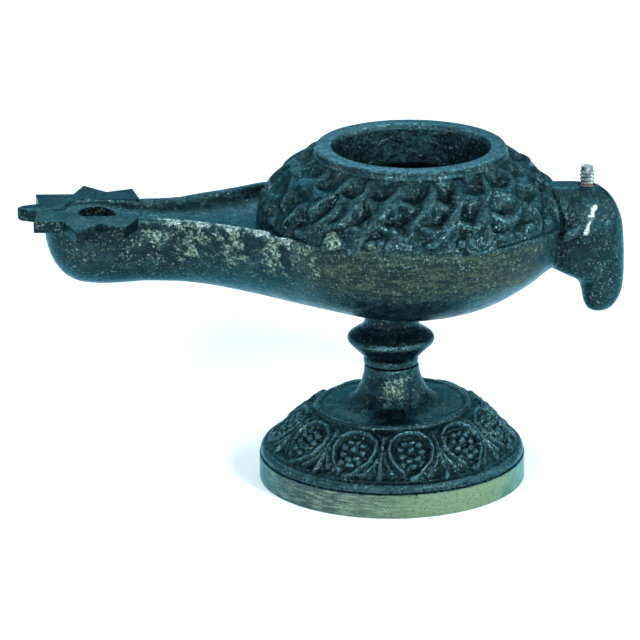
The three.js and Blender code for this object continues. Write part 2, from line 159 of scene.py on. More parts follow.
# One leaf of the foot: a horseshoe border, a rosette of bumps in it, a tip below, a dart at each side.
# Ridges: height, half width, and points (mm across, mm down). Bumps: across, down, radius, height.
LEAF_RIDGES = (
    (1.7, 1, ((-2.6, 13.6), (-5, 10.6), (-6.1, 7.2), (-5.4, 4), (-3, 2.2), (0, 1.6), (3.2, 2.1),
              (5.6, 4), (6.3, 7.2), (5.2, 10.8), (2.6, 13.4), (0.4, 15.6))),
    (1.1, 0.8, ((6.6, 2.4), (7.7, 5), (7.9, 8.2), (6.8, 11.6), (4.4, 14.6))),
    (1, 0.8, ((-7, 3.2), (-7.7, 6.4), (-7.2, 10.4), (-5.6, 13.6))),
)
ROSETTE = [math.radians(45 * k + 12) for k in range(8)]
LEAF_BUMPS = (
    *((3 * math.cos(turn), 7.3 + 3 * math.sin(turn), 1.25, 1.25) for turn in ROSETTE),
    (0.1, 7, 1.3, 1.3), (-2.7, 11.3, 1.2, 0.9), (0.2, 11.9, 1.3, 1), (2.9, 11.2, 1.2, 0.9),
    (0.2, 15.3, 1.4, 0.9),
)
# Pits: across, down, half width, half length, depth.
LEAF_PITS = (
    (0.2, 3.4, 3.8, 1, 1.1), (0.2, 13.7, 1.6, 0.7, 1), (-4.6, 6.5, 0.9, 2.4, 0.5),
    (4.9, 6.5, 0.9, 2.4, 0.5),
)

# Hull, nozzle to breast: x, half width at the wing edge, wing edge height, keel height.
HULL = np.array([
    (-96.7, 3.6, 75.8, 69.5), (-95.6, 6.4, 75.8, 66), (-93.6, 8.9, 75.8, 62.2),
    (-90.6, 10.9, 76, 59.2), (-86.5, 12.2, 76, 57.5), (-81, 12.2, 76.5, 57),
    (-75, 11.2, 77.5, 57.2), (-69, 10.5, 78.4, 57.6), (-61, 12, 78.3, 57.6),
    (-53, 15.5, 78.6, 57.1), (-44.5, 19.9, 78.8, 55.8), (-36, 25, 79, 54.2),
    (-31, 27.2, 77.5, 53.2), (-28, 29.2, 78.1, 52.6), (-23, 33.3, 78, 51.9),
    (-15, 38.3, 77.8, 50.6), (-6, 41.7, 77.6, 49.2), (5, 43.3, 77.5, 48.6),
    (13, 42.6, 77.5, 49.3), (20, 40.7, 77.5, 50.6), (27, 37.4, 77.7, 52.8),
    (33.4, 32.7, 78.2, 55.8), (38.5, 27.7, 78, 58.8), (42, 22.8, 77.6, 61.3),
    (44.8, 17.9, 77.4, 62.9),
])

# Channel along the neck: x, half width, depth below the star's top.
CHANNEL = np.array([
    (-91.4, 2.5, 1.2), (-90.2, 5.2, 1.5), (-87.5, 7.6, 1.6), (-83, 8.3, 1.7), (-77, 8, 2.2),
    (-70, 7.9, 3), (-61, 9.2, 3.8), (-53, 12.6, 4.2), (-44.5, 16.8, 4.4), (-36, 21.8, 4.6),
    (-30, 24.3, 4.3),
])

# Way for the wick inside the neck: x, half width, floor height, roof height.
WICK_WAY = np.array([
    (-90, 5, 64, 72), (-86, 7.4, 61, 73), (-76, 7.4, 60.3, 72.6), (-64, 7, 60.6, 71.8),
    (-52, 9.5, 60.2, 71.6), (-40, 15, 58.5, 71.4), (-30, 20, 57.5, 71.4), (-22, 24, 57, 71.4),
])

# Head, bill tip to crown: height, front x, back x, half width.
HEAD = np.array([
    (48.7, 55.9, 58.8, 1.6), (49.4, 54.4, 60.5, 3.4), (51.5, 53.2, 62.4, 4.8), (54.5, 52.6, 63.8, 5.6),
    (57, 51.9, 64.2, 6.2), (58.6, 50.4, 64.3, 6.8), (60.2, 46.9, 64.4, 7.5), (62.2, 43, 64.4, 8.1),
    (65, 40, 64.4, 8.9), (69.3, 39, 64.2, 9.6), (73.5, 38, 63.9, 9.8), (77.5, 38, 62.9, 9.2),
    (80.6, 38, 61.4, 8), (83, 38, 59.5, 6.4), (84.5, 38, 57.6, 4.8), (85.2, 38, 56.5, 3.6),
])

# Star outline: angle from the nozzle's direction, radius. One near tooth is bent down.
STAR = (
    (144, 16.2), (120.5, 21.5), (104, 15.9), (82, 21.8), (67, 14.4), (38.5, 20.6), (14.5, 15.2), (5, 19.7),
    (0, 20.5), (-5, 19.7), (-14.5, 15.2), (-41.5, 20.5), (-62, 15.4), (-81, 20.9), (-102, 15.5),
    (-116, 22.2), (-143, 16.8),
)
BENT_TOOTH = -81
BENT_BY = 1.0

# The dome from its rim down, and the foot's leaf zone: radius, height. Points round and down each.
DOME_GRID = (520, 60)
LEAF_GRID = (52, 54)
DOME_PROFILE = np.array([
    (26.9, 94.3), (28.6, 93), (30.9, 91.6), (33.4, 89.9), (36, 87.7), (38.5, 85.2), (40.6, 82.3),
    (42.1, 79.2), (42.9, 76.8), (43, 75.4),
])
ZONE_PROFILE = np.array([
    (22.2, 20.5), (24.4, 19.2), (26.9, 17.3), (29.4, 15), (32.2, 12.2), (35.4, 9.6),
])


def length_of(profile):
    return float(np.hypot(*np.diff(profile, axis=0).T).sum())


DOME_LENGTH = length_of(DOME_PROFILE)
ZONE_LENGTH = length_of(ZONE_PROFILE)


def clamp01(value):
    return np.clip(value, 0.0, 1.0)


def smooth(value):
    """Eases from 0 to 1."""
    value = clamp01(value)
    return value * value * (3 - 2 * value)


def bell(value, width):
    """Falls from 1 at 0 towards 0 beyond the width."""
    return np.exp(-(value / width) ** 2)


def eased(table, at):
    """A table's columns at other values of its first column, on curves that never overshoot."""
    table = np.asarray(table, float)
    xs, ys = table[:, 0], table[:, 1:]
    step = np.diff(xs)[:, None]
    slope = np.diff(ys, axis=0) / step
    tangent = np.zeros_like(ys)
    same = slope[:-1] * slope[1:] > 0
    near = np.where(same, slope[:-1] + slope[1:], 1)
    tangent[1:-1] = np.where(same, 2 * slope[:-1] * slope[1:] / near, 0)
    tangent[0], tangent[-1] = slope[0], slope[-1]
    at = np.atleast_1d(np.asarray(at, float))
    i = np.clip(np.searchsorted(xs, at, side="right") - 1, 0, len(xs) - 2)
    h = step[i]
    t = ((at - xs[i])[:, None]) / h
    return (
        ys[i] * (1 + 2 * t) * (1 - t) ** 2 + tangent[i] * h * t * (1 - t) ** 2
        + ys[i + 1] * t * t * (3 - 2 * t) + tangent[i + 1] * h * t * t * (t - 1)
    )


def curve_through(profile, count):
    """Evenly spaced points on a smooth curve through a profile's points."""
    profile = np.asarray(profile, float)
    reach = np.concatenate([[0], np.cumsum(np.hypot(*np.diff(profile, axis=0).T))])
    return eased(np.column_stack([reach, profile]), np.linspace(0, reach[-1], count))


def with_round_corners(profile, radius, steps=4):
    """A profile whose sharp corners are turned into small arcs."""
    points = [np.array(p, float) for p in profile]
    out = [points[0]]
    for before, here, after in zip(points, points[1:], points[2:]):
        a, b = before - here, after - here
        la, lb = np.hypot(*a), np.hypot(*b)
        cosine = np.dot(a, b) / (la * lb)
        if cosine < -0.985:
            out.append(here)
            continue
        reach = min(radius, la * 0.45, lb * 0.45)
        start, end = here + a / la * reach, here + b / lb * reach
        for t in np.linspace(0, 1, steps + 1):
            out.append((1 - t) ** 2 * start + 2 * t * (1 - t) * here + t * t * end)
    out.append(points[-1])
    return np.array(out)


def mesh_of(name, points, faces):
    mesh = bpy.data.meshes.new(name)
    mesh.from_pydata(points.tolist(), [], faces)
    mesh.update()
    return mesh


def loft(name, rings, heights=None):
    """A closed mesh through rings of equally many points, with a fan at each end, at these heights."""
    rings = np.asarray(rings, float)
    rows, count = rings.shape[:2]
    middles = np.array([rings[0].mean(0), rings[-1].mean(0)])
    if heights:
        middles[:, 2] = heights
    column = np.arange(count)
    following = (column + 1) % count
    faces = []
    for low in np.arange(rows - 1) * count:
        high = low + count
        faces.append(np.column_stack([low + column, low + following, high + following, high + column]))
    first, last = rows * count, (rows - 1) * count
    quads = np.vstack(faces).tolist()
    fans = np.column_stack([np.full(count, first), following, column]).tolist()
    fans += np.column_stack([np.full(count, first + 1), last + column, last + following]).tolist()
    return mesh_of(name, np.vstack([rings.reshape(-1, 3), middles]), quads + fans)


def ring_about(angles, radius, height, x=0.0):
    """Points round a vertical axis. Angles run from the near side towards the head."""
    turn = np.radians(angles)
    height = np.broadcast_to(height, turn.shape)
    return np.column_stack([x + radius * np.sin(turn), -radius * np.cos(turn), height])


def turned(name, profile, segments, x=0.0):
    """A body of revolution about a vertical axis; its profile runs from axis to axis, bottom to top."""
    angles = np.arange(segments) * 360 / segments
    rings = [ring_about(angles, r, z, x) for r, z in profile[1:-1]]
    return loft(name, rings, (profile[0][1], profile[-1][1]))


def in_scene(mesh):
    thing = bpy.data.objects.new(mesh.name, mesh)
    bpy.context.scene.collection.objects.link(thing)
    return thing


def settled(thing):
    """Applies an object's modifiers to its mesh."""
    bpy.context.view_layer.update()
    shape = bpy.data.meshes.new_from_object(thing.evaluated_get(bpy.context.evaluated_depsgraph_get()))
    thing.modifiers.clear()
    old = thing.data
    thing.data = shape
    bpy.data.meshes.remove(old)


def combined(thing, mesh, operation):
    """Joins a closed mesh to an object, or cuts it away."""
    other = in_scene(mesh)
    step = thing.modifiers.new("step", "BOOLEAN")
    step.operation = operation
    step.solver = "MANIFOLD"
    step.object = other
    settled(thing)
    bpy.data.objects.remove(other)
    bpy.data.meshes.remove(mesh)


def read(items, key, width, kind=float):
    """One row of numbers for each item."""
    values = np.empty(len(items) * width, dtype=kind)
    items.foreach_get(key, values)
    return values.reshape(-1, width)


def points_of(mesh):
    return read(mesh.vertices, "co", 3)


def edges_of(mesh):
    return read(mesh.edges, "vertices", 2, np.int64)


def set_points(mesh, points):
    mesh.vertices.foreach_set("co", points.astype(np.float32).ravel())
    mesh.update()


def spread(values, edges, rounds, share=0.5):
    """Evens out values, or points, over a mesh's edges."""
    values = np.array(values, float)
    flat = values.reshape(len(values), -1)
    count = np.bincount(edges.ravel(), minlength=len(values)).astype(float)
    count[count == 0] = 1
    for _ in range(rounds):
        total = np.empty_like(flat)
        for column in range(flat.shape[1]):
            total[:, column] = (
                np.bincount(edges[:, 0], flat[edges[:, 1], column], minlength=len(flat))
                + np.bincount(edges[:, 1], flat[edges[:, 0], column], minlength=len(flat))
            )
        flat += share * (total / count[:, None] - flat)
    return flat.reshape(values.shape)


def bend_of(mesh):
    """How sharply the surface bends at each point, per mm: above 0 in hollows, below 0 on crests."""
    points, edges = points_of(mesh), edges_of(mesh)
    normals = read(mesh.vertex_normals, "vector", 3)
    a, b = edges.T
    way = points[b] - points[a]
    square = np.maximum((way ** 2).sum(1), 0.02)
    total = np.bincount(a, (normals[a] * way).sum(1) / square, minlength=len(points))
    total += np.bincount(b, -(normals[b] * way).sum(1) / square, minlength=len(points))
    count = np.maximum(np.bincount(edges.ravel(), minlength=len(points)), 1)
    return spread(total / count, edges, 2)


def mark(mesh, **given):
    """Stores each mark's values for the points of a mesh, or 0 where none are given."""
    for name in MARKS:
        values = np.broadcast_to(given.get(name, 0.0), len(mesh.vertices))
        mesh.attributes.new(name, "FLOAT", "POINT").data.foreach_set("value", values.astype(np.float32))


def line_gap(across, down, points, stretch):
    """Distance in mm from a bent line, and the share of the way along it."""
    gap = np.full_like(down, 99.0)
    share_at = np.zeros_like(down)
    for i, ((a0, d0), (a1, d1)) in enumerate(zip(points, points[1:])):
        way_a, way_d = (a1 - a0) * stretch, d1 - d0
        from_a, from_d = across(a0), down - d0
        share = clamp01((from_a * way_a + from_d * way_d) / (way_a ** 2 + way_d ** 2))
        here = np.hypot(from_a - share * way_a, from_d - share * way_d)
        share_at = np.where(here < gap, (i + share) / (len(points) - 1), share_at)
        gap = np.minimum(here, gap)
    return gap, share_at


def ridges_of(table, across, down, stretch):
    """Height of a set of ridges, where they meet flowing into each other."""
    total = np.zeros_like(down)
    for height, half, points in table:
        gap, share = line_gap(across, down, points, stretch)
        swell = 0.75 + 0.35 * np.sin(np.pi * share)
        total += (height * swell * bell(gap, half * (0.85 + 0.25 * share))) ** 3
    return np.cbrt(total)


def feather_lift(angle, down, radius):
    """Height of the feathers above the plain dome."""
    folded = (angle + 90) % 180 - 90
    folded = folded + 0.5 * np.sin(down * 0.9 + angle * 0.11) + 0.4 * np.sin(angle * 0.31 + 1)
    per_degree = np.radians(1) * radius

    def across(at):
        return ((folded - at + 90) % 180 - 90) * per_degree

    lift = ridges_of(FEATHER_RIDGES, across, down, per_degree)
    for at, start, half, tall, height in FEATHER_BALLS:
        reach = (across(at) / half) ** 2 + ((down - start) / tall) ** 2
        lift = np.maximum(lift, height * (np.sqrt(clamp01(1 - reach)) + 0.1 * (reach < 1)))
    for at, half, start, end, height in FEATHER_TONGUES:
        side = smooth((half - np.abs(across(at))) / 0.9 + 0.5)
        long = smooth((down - start) / 1.4 + 0.3) * (1 - smooth((down - end) / 1.6 + 0.8))
        lift = np.maximum(lift, height * side * long)
    for at, start, half, tall, depth in FEATHER_PITS:
        reach = np.hypot(across(at) / half, (down - start) / tall)
        lift = lift - depth * np.exp(-reach ** 2.2) * clamp01(1.2 - lift)
    return (lift - 0.35) * smooth(down / 1.8) * (1 - smooth((down - DOME_LENGTH + 1.8) / 1.6))


def leaf_lift(x, y):
    """Height of one leaf of the foot: x and y in mm across it and down it."""
    lift = ridges_of(LEAF_RIDGES, lambda at: x - at, y, 1.0)
    inside = smooth((6.2 - np.hypot(x, (y - 7.2) * 0.85)) / 1.2)
    lift = np.maximum(lift, 0.45 * inside)
    for at, start, reach, height in LEAF_BUMPS:
        lump = clamp01(1 - (np.hypot(x - at, y - start) / reach) ** 2)
        lift = np.maximum(lift, 0.3 + height * np.sqrt(lump) * (lump > 0))
    for at, start, half, tall, depth in LEAF_PITS:
        lift = lift - depth * np.exp(-np.hypot((x - at) / half, (y - start) / tall) ** 2.4)
    return (lift - 0.55) * smooth(y / 1.2) * smooth((ZONE_LENGTH - y) / 1.1)


def hull_rings(inset=0.0, steps=44):
    """Sections of the hull along its length; with an inset, of the hollow in it."""
    table = HULL
    if inset:
        table = HULL[(HULL[:, 0] > HOLLOW_ENDS[0]) & (HULL[:, 0] < HOLLOW_ENDS[1])]
    xs = np.linspace(table[0, 0], table[-1, 0], 40 if inset else 230)
    rings = []
    for x, (half, edge, keel) in zip(xs, eased(table, xs)):
        half -= inset
        top = edge - 2.4 if inset else edge
        depth = top - keel - inset
        fullness = 2.5 - 0.45 * clamp01(half / 25)
        turn = np.linspace(0, math.pi, steps + 1)
        y = -np.sign(np.cos(turn)) * half * np.abs(np.cos(turn)) ** (2 / fullness)
        z = top - 0.7 - (depth - 0.7) * np.abs(np.sin(turn)) ** (2 / fullness)
        ring = np.column_stack([np.full(steps + 1, x), y, z])
        rings.append(np.vstack([ring, (x, half - 0.7, top), (x, 0.7 - half, top)]))
    return rings


def head_rings():
    """Level sections of the head, from the bill's tip to the crown."""
    heights = np.linspace(HEAD[0, 0], HEAD[-1, 0], 90)
    turn = np.linspace(0, 2 * math.pi, 56, endpoint=False)
    rings = []
    for z, (front, back, half) in zip(heights, eased(HEAD, heights)):
        x = (front + back) / 2 + (back - front) / 2 * np.cos(turn)
        y = half * np.sign(np.sin(turn)) * np.abs(np.sin(turn)) ** 0.85
        rings.append(np.column_stack([x, y, np.full(len(turn), z)]))
    return rings


def tuft(side):
    """The leaf-shaped tuft at one side of the neck."""
    half_size, middle = (4.8, 2.8, 2.0), (48.8, side * 8.9, 73.9)
    lean, yaw = math.radians(-34), math.radians(side * -6)
    turn = np.linspace(0, 2 * math.pi, 32, endpoint=False)
    rings = []
    for rise in np.linspace(-math.pi / 2 + 0.05, math.pi / 2 - 0.05, 24):
        across, ahead = np.cos(turn) * math.cos(rise), np.full(32, math.sin(rise))
        rings.append(np.column_stack([ahead, across, np.sin(turn) * math.cos(rise)]) * half_size)
    turned_up = Matrix.Rotation(yaw, 3, "Z") @ Matrix.Rotation(lean, 3, "Y")
    return loft("tuft", np.array(rings) @ np.array(turned_up).T + middle)


def channel_cutter():
    """The hollow of the open channel along the neck."""
    xs = np.linspace(CHANNEL[0, 0], CHANNEL[-1, 0], 90)
    turn = np.linspace(0, math.pi, 25)
    above = STAR_TOP + 4
    rings = []
    for x, (half, depth) in zip(xs, eased(CHANNEL, xs)):
        floor = STAR_TOP - depth * np.abs(np.sin(turn)) ** 0.8
        ring = np.column_stack([np.full(25, x), -half * np.cos(turn), floor])
        rings.append(np.vstack([ring, (x, half + 0.6, above), (x, -half - 0.6, above)]))
    return loft("channel", rings)


def wick_way_cutter():
    """The hollow inside the neck, between round and square in section."""
    turn = np.linspace(0, 2 * math.pi, 16, endpoint=False)
    across, upward = [np.sign(v) * np.abs(v) ** 0.65 for v in (np.cos(turn), np.sin(turn))]
    rings = []
    for x, half, floor, roof in WICK_WAY:
        height = (floor + roof) / 2 - (roof - floor) / 2 * upward
        rings.append(np.column_stack([np.full(16, x), -half * across, height]))
    return loft("wick_way", rings)


def star_plate():
    """The star round the wick hole, with its edges a little rounded."""
    angles = np.radians([a for a, _ in STAR])
    radii = np.array([r for _, r in STAR])
    drop = np.array([BENT_BY if a == BENT_TOOTH else 0.0 for a, _ in STAR])
    outline = np.column_stack([STAR_X - radii * np.cos(angles), radii * np.sin(angles), -drop])
    middle = np.array([STAR_X, 0, 0])
    rounding = ((0.45, 0), (0.12, 0.12), (0, 0.45))
    below = [(inset, STAR_THICKNESS - z) for inset, z in rounding[::-1]]
    rings = []
    for inset, z in (*rounding, *below):
        towards = outline + (middle - outline) * (inset / radii)[:, None]
        rings.append(towards + (0, 0, STAR_TOP - z))
    return loft("star", rings)


def channelled(mesh):
    """Cuts the channel out of a closed mesh."""
    thing = in_scene(mesh)
    combined(thing, channel_cutter(), "DIFFERENCE")
    mesh = thing.data
    bpy.data.objects.remove(thing)
    return mesh


def joined_shells(name, parts):
    """Puts closed meshes into one, still as separate shells."""
    points, faces, offset = [], [], 0
    for part in parts:
        points.append(points_of(part))
        faces += [[offset + v for v in face.vertices] for face in part.polygons]
        offset += len(part.vertices)
        bpy.data.meshes.remove(part)
    return mesh_of(name, np.vstack(points), faces)


def cast_mass(grain):
    """Hull, head and tufts melted into one even mesh, as from one mould."""
    hull = channelled(loft("hull", hull_rings()))
    thing = in_scene(joined_shells("lamp_body_looks", [hull, loft("head", head_rings()), tuft(-1), tuft(1)]))
    melt = thing.modifiers.new("melt", "REMESH")
    melt.mode = "VOXEL"
    melt.voxel_size = grain
    settled(thing)
    mesh = thing.data
    points, edges = points_of(mesh), edges_of(mesh)
    # Soften the creases, and the seam between breast and head; the rest keeps its place.
    crease = smooth((np.abs(bend_of(mesh)) - 0.06) / 0.25)
    seam = bell(points[:, 0] - 44.9, 1.8) * (points[:, 2] < 78)
    share = spread(np.maximum(crease, seam), edges, 3)[:, None]
    set_points(mesh, points + (spread(points, edges, 5) - points) * share)
    return thing


def feathered_dome(height):
    """The dome with its carved feathers, on an even grid."""
    columns, rows = DOME_GRID
    angles = np.arange(columns) * 360 / columns
    profile = curve_through(DOME_PROFILE, rows)
    reach = np.concatenate([[0], np.cumsum(np.hypot(*np.diff(profile, axis=0).T))])
    way = np.gradient(profile, axis=0)
    way /= np.hypot(*way.T)[:, None]
    rings = []
    for down, (r, z), (way_r, way_z) in zip(reach, profile, way):
        lift = feather_lift(angles, np.full(columns, down), np.full(columns, float(r))) * height
        rings.append(ring_about(angles, r - way_z * lift, z + way_r * lift, BOWL_X))
    plain = [ring_about(angles, r, z, BOWL_X) for r, z in ((38, 73), (24, 94.4))]
    return loft("dome", [plain[0], *rings[::-1], plain[1]])


def in_place(mesh, lean=0.0):
    """Moves a finished mesh from the foot's frame in millimetres to the part's frame in metres."""
    x, y, z = points_of(mesh).T
    set_points(mesh, np.column_stack([
        x * math.cos(lean) + z * math.sin(lean) + CENTRE_SHIFT, y, z * math.cos(lean) - x * math.sin(lean),
    ]) * MM)


def finish_shading(mesh, angle=40):
    mesh.shade_smooth()
    mesh.set_sharp_from_angle(angle=math.radians(angle))


def made(tree, kind, inputs=(), **settings):
    """A new node. Each input is set, or linked where a socket, or a list of sockets, is given."""
    node = tree.nodes.new(kind)
    for key, value in settings.items():
        setattr(node, key, value)
    for key, value in dict(inputs).items():
        for one in value if isinstance(value, list) else [value]:
            if isinstance(one, bpy.types.NodeSocket):
                tree.links.new(one, node.inputs[key])
            else:
                node.inputs[key].default_value = one
    return node


class Recipe:
    """Builds one material's nodes."""

    def __init__(self, name):
        self.material = bpy.data.materials.get(name) or bpy.data.materials.new(name)
        self.material.use_nodes = True
        self.tree = self.material.node_tree
        self.tree.nodes.clear()
        self.shader = self.add("ShaderNodeBsdfPrincipled")
        self.place = self.add("ShaderNodeTexCoord").outputs["Object"]
        self.add("ShaderNodeOutputMaterial", {"Surface": self.shader.outputs["BSDF"]})

    def add(self, kind, inputs=(), **settings):
        return made(self.tree, kind, inputs, **settings)

    def give(self, name, value):
        """Sets or links an input of the shader."""
        if isinstance(value, bpy.types.NodeSocket):
            self.tree.links.new(value, self.shader.inputs[name])
        else:
            self.shader.inputs[name].default_value = value

    def noise(self, size, detail=4.0, roughness=0.55, stretch=(1, 1, 1), distortion=0.0, offset=0.0):
        """Cloudy variation, with features of about this size in millimetres."""
        mapping = self.add("ShaderNodeMapping", {
            "Vector": self.place, "Scale": tuple(1 / s for s in stretch),
            "Location": (offset, offset * 0.7, offset * 0.3),
        })
        return self.add("ShaderNodeTexNoise", {
            "Vector": mapping.outputs["Vector"], "Scale": 1000 / size, "Detail": detail,
            "Roughness": roughness, "Distortion": distortion,
        }).outputs["Fac"]

    def reading(self, name):
        return self.add("ShaderNodeAttribute", attribute_name=name).outputs["Fac"]

    def maths(self, operation, a, b=0.5, c=0.5):
        return self.add("ShaderNodeMath", {0: a, 1: b, 2: c}, operation=operation).outputs["Value"]

    def times(self, a, b):
        return self.maths("MULTIPLY", a, b)

    def cloud_of(self, a, share, b):
        """Two clouds in one, the first with this share."""
        return self.maths("MULTIPLY_ADD", a, share, self.times(b, 1 - share))

    def ramp(self, value, low, high, to_low=0.0, to_high=1.0):
        return self.add("ShaderNodeMapRange", {
            "Value": value, "From Min": low, "From Max": high, "To Min": to_low, "To Max": to_high,
        }, interpolation_type="SMOOTHSTEP").outputs["Result"]

    def mix(self, share, a, b):
        a, b = (v if isinstance(v, bpy.types.NodeSocket) else (*v, 1.0) for v in (a, b))
        return self.add("ShaderNodeMix", {0: share, 6: a, 7: b}, data_type="RGBA").outputs[2]

    def spotted(self, amount, cloud, sharpness=0.12):
        """Spots that cover more of the surface as the amount rises."""
        return self.ramp(self.maths("ADD", cloud, amount), 1.0 - sharpness, 1.0 + sharpness)

    def bump(self, height, distance, strength=1.0, below=None):
        inputs = {"Strength": strength, "Distance": distance * MM, "Height": height}
        if below is not None:
            inputs["Normal"] = below
        return self.add("ShaderNodeBump", inputs).outputs["Normal"]


def patinated_bronze(name, look):
    """Dark green-blue bronze: glossy worn crests, painted reflection on the rim, painted shade with some
    dust in hollows, painted glints, pale and olive patina, brushed bare metal.
    """
    r = Recipe(name)
    broad = r.noise(16, 3)
    middle = r.noise(3.2, 5, 0.6)
    fine = r.noise(1.0, 4, 0.65, offset=3.0)
    grit = r.noise(0.6, 2, 0.6, offset=9.0)
    flakes = r.noise(2.6, 6, 0.72, stretch=(1.5, 1.5, 1.0), distortion=0.3, offset=5.0)
    streaks = r.noise(1.3, 5, 0.66, stretch=(5.0, 5.0, 1.0), offset=7.0)

    colour = r.mix(r.ramp(broad, 0.35, 0.65), look.dark, look.deep)
    colour = r.mix(r.ramp(middle, 0.46, 0.66), colour, look.teal)
    # Lighter on worn crests, and the painted reflection on the rim's top.
    crest = r.times(r.reading("crest"), r.ramp(fine, 0.35, 0.6, 0.4, 1.0))
    colour = r.mix(r.times(crest, 0.85), colour, look.crest)
    # Painted shade: hollows darkened, with some olive dust specks in them.
    shade_and_dust = r.times(r.reading("hollow"), r.ramp(middle, 0.3, 0.5))
    colour = r.mix(shade_and_dust, colour, r.mix(r.ramp(grit, 0.54, 0.64), look.shade_and_dust, look.olive_light))

    olive = r.spotted(r.reading("olive"), r.cloud_of(streaks, 0.6, fine), 0.22)
    olive_tone = r.mix(r.ramp(streaks, 0.42, 0.62, 0.0, 0.85), look.olive, look.olive_light)
    colour = r.mix(olive, colour, r.mix(r.ramp(fine, 0.48, 0.38), olive_tone, look.dark))
    pale = r.spotted(r.reading("pale"), r.cloud_of(fine, 0.35, flakes), 0.05)
    pale = r.times(pale, r.ramp(grit, 0.38, 0.5, 0.25, 1.0))
    colour = r.mix(pale, colour, r.mix(r.ramp(fine, 0.42, 0.6), look.pale, look.pale_light))
    edge = r.spotted(r.reading("edge"), r.cloud_of(grit, 0.4, fine), 0.16)
    colour = r.mix(edge, colour, look.edge)
    # Painted glints: small bright specks standing in for sparkle.
    painted_glints = r.times(r.ramp(grit, 0.56, 0.66), r.ramp(flakes, 0.42, 0.56))
    colour = r.mix(r.times(painted_glints, 0.7), colour, look.glint_tone)
    colour = r.mix(r.ramp(r.noise(0.9, 3, 0.6, offset=21.0), 0.46, 0.36, 0.0, 0.9), colour, look.dark)
    brushing = r.noise(0.5, 3, 0.6, stretch=(9.0, 9.0, 0.8), offset=11.0)
    band = r.reading("band")
    along = r.add("ShaderNodeSeparateXYZ", {0: r.place})
    brass = r.mix(r.ramp(along.outputs["X"], 0.0, 0.040), look.band, look.band_green)
    brass = r.mix(r.times(r.ramp(brushing, 0.42, 0.62), 0.8), brass, look.band_light)
    brass = r.mix(r.ramp(broad, 0.5, 0.36, 0.0, 0.35), brass, look.teal)
    brass = r.mix(r.ramp(grit, 0.42, 0.34, 0.0, 0.6), brass, look.dark)
    colour = r.mix(band, colour, brass)
    # The near-white, not metallic streak on the head.
    chip = r.times(r.reading("chip"), r.ramp(grit, 0.36, 0.46))
    colour = r.mix(chip, colour, look.chip)
    r.give("Base Color", colour)

    crust_share = r.maths("MAXIMUM", olive, pale)
    cover = r.maths("MAXIMUM", crust_share, shade_and_dust)
    metal = r.times(r.ramp(crust_share, 0.0, 1.0, 0.92, 0.3), r.ramp(chip, 0, 1, 1, 0))
    r.give("Metallic", metal)
    roughness = r.ramp(middle, 0.35, 0.7, 0.19, 0.35)
    roughness = r.maths("ADD", roughness, r.times(cover, 0.28))
    r.give("Roughness", roughness)
    r.give("Specular IOR Level", 0.15)
    r.give("Specular Tint", (*look.sheen, 1.0))
    r.give("Coat Weight", r.ramp(cover, 0.1, 0.8, 0.07, 0.0))
    r.give("Coat Roughness", 0.12)

    smooth_band = r.ramp(band, 0.0, 1.0, 1.0, 0.25)
    grains = r.bump(r.times(grit, smooth_band), 0.15, 1.0)
    pits = r.bump(r.times(r.ramp(fine, 0.25, 0.6), smooth_band), 0.15, 0.9, grains)
    crust = r.bump(r.maths("MAXIMUM", pale, r.times(olive, 0.3)), 0.12, 0.8, pits)
    combed = r.noise(0.8, 3, 0.6, stretch=(1.0, 1.0, 5.0), distortion=0.3, offset=15.0)
    feathery = r.bump(r.times(combed, r.reading("comb")), 0.4, 0.9, crust)
    brushed = r.bump(r.times(brushing, band), 0.08, 0.9, feathery)
    r.give("Normal", brushed)
    wavy = r.bump(r.times(fine, smooth_band), 0.18, 0.8)
    r.give("Coat Normal", wavy)
    return r.material


def stud_steel(name, look):
    """Dull grey steel with rust at its root."""
    r = Recipe(name)
    grime = r.noise(1.2, 5, 0.65)
    height = r.add("ShaderNodeSeparateXYZ", {0: r.place})
    rust = r.times(r.ramp(height.outputs["Z"], 0.0862, 0.0846), r.ramp(grime, 0.35, 0.6))
    colour = r.mix(r.ramp(grime, 0.4, 0.65), look.steel, look.steel_dark)
    r.give("Base Color", r.mix(rust, colour, look.rust))
    r.give("Metallic", r.ramp(rust, 0, 1, 0.9, 0.1))
    r.give("Roughness", r.ramp(grime, 0.3, 0.7, 0.28, 0.5))
    r.give("Normal", r.bump(grime, 0.08, 0.6))
    return r.material


def pale_ground(name, look):
    """A pale matt floor, a little cloudy."""
    r = Recipe(name)
    cloud = r.noise(220, 2)
    r.give("Base Color", r.mix(cloud, look.ground, look.ground_light))
    r.give("Roughness", 0.9)
    return r.material


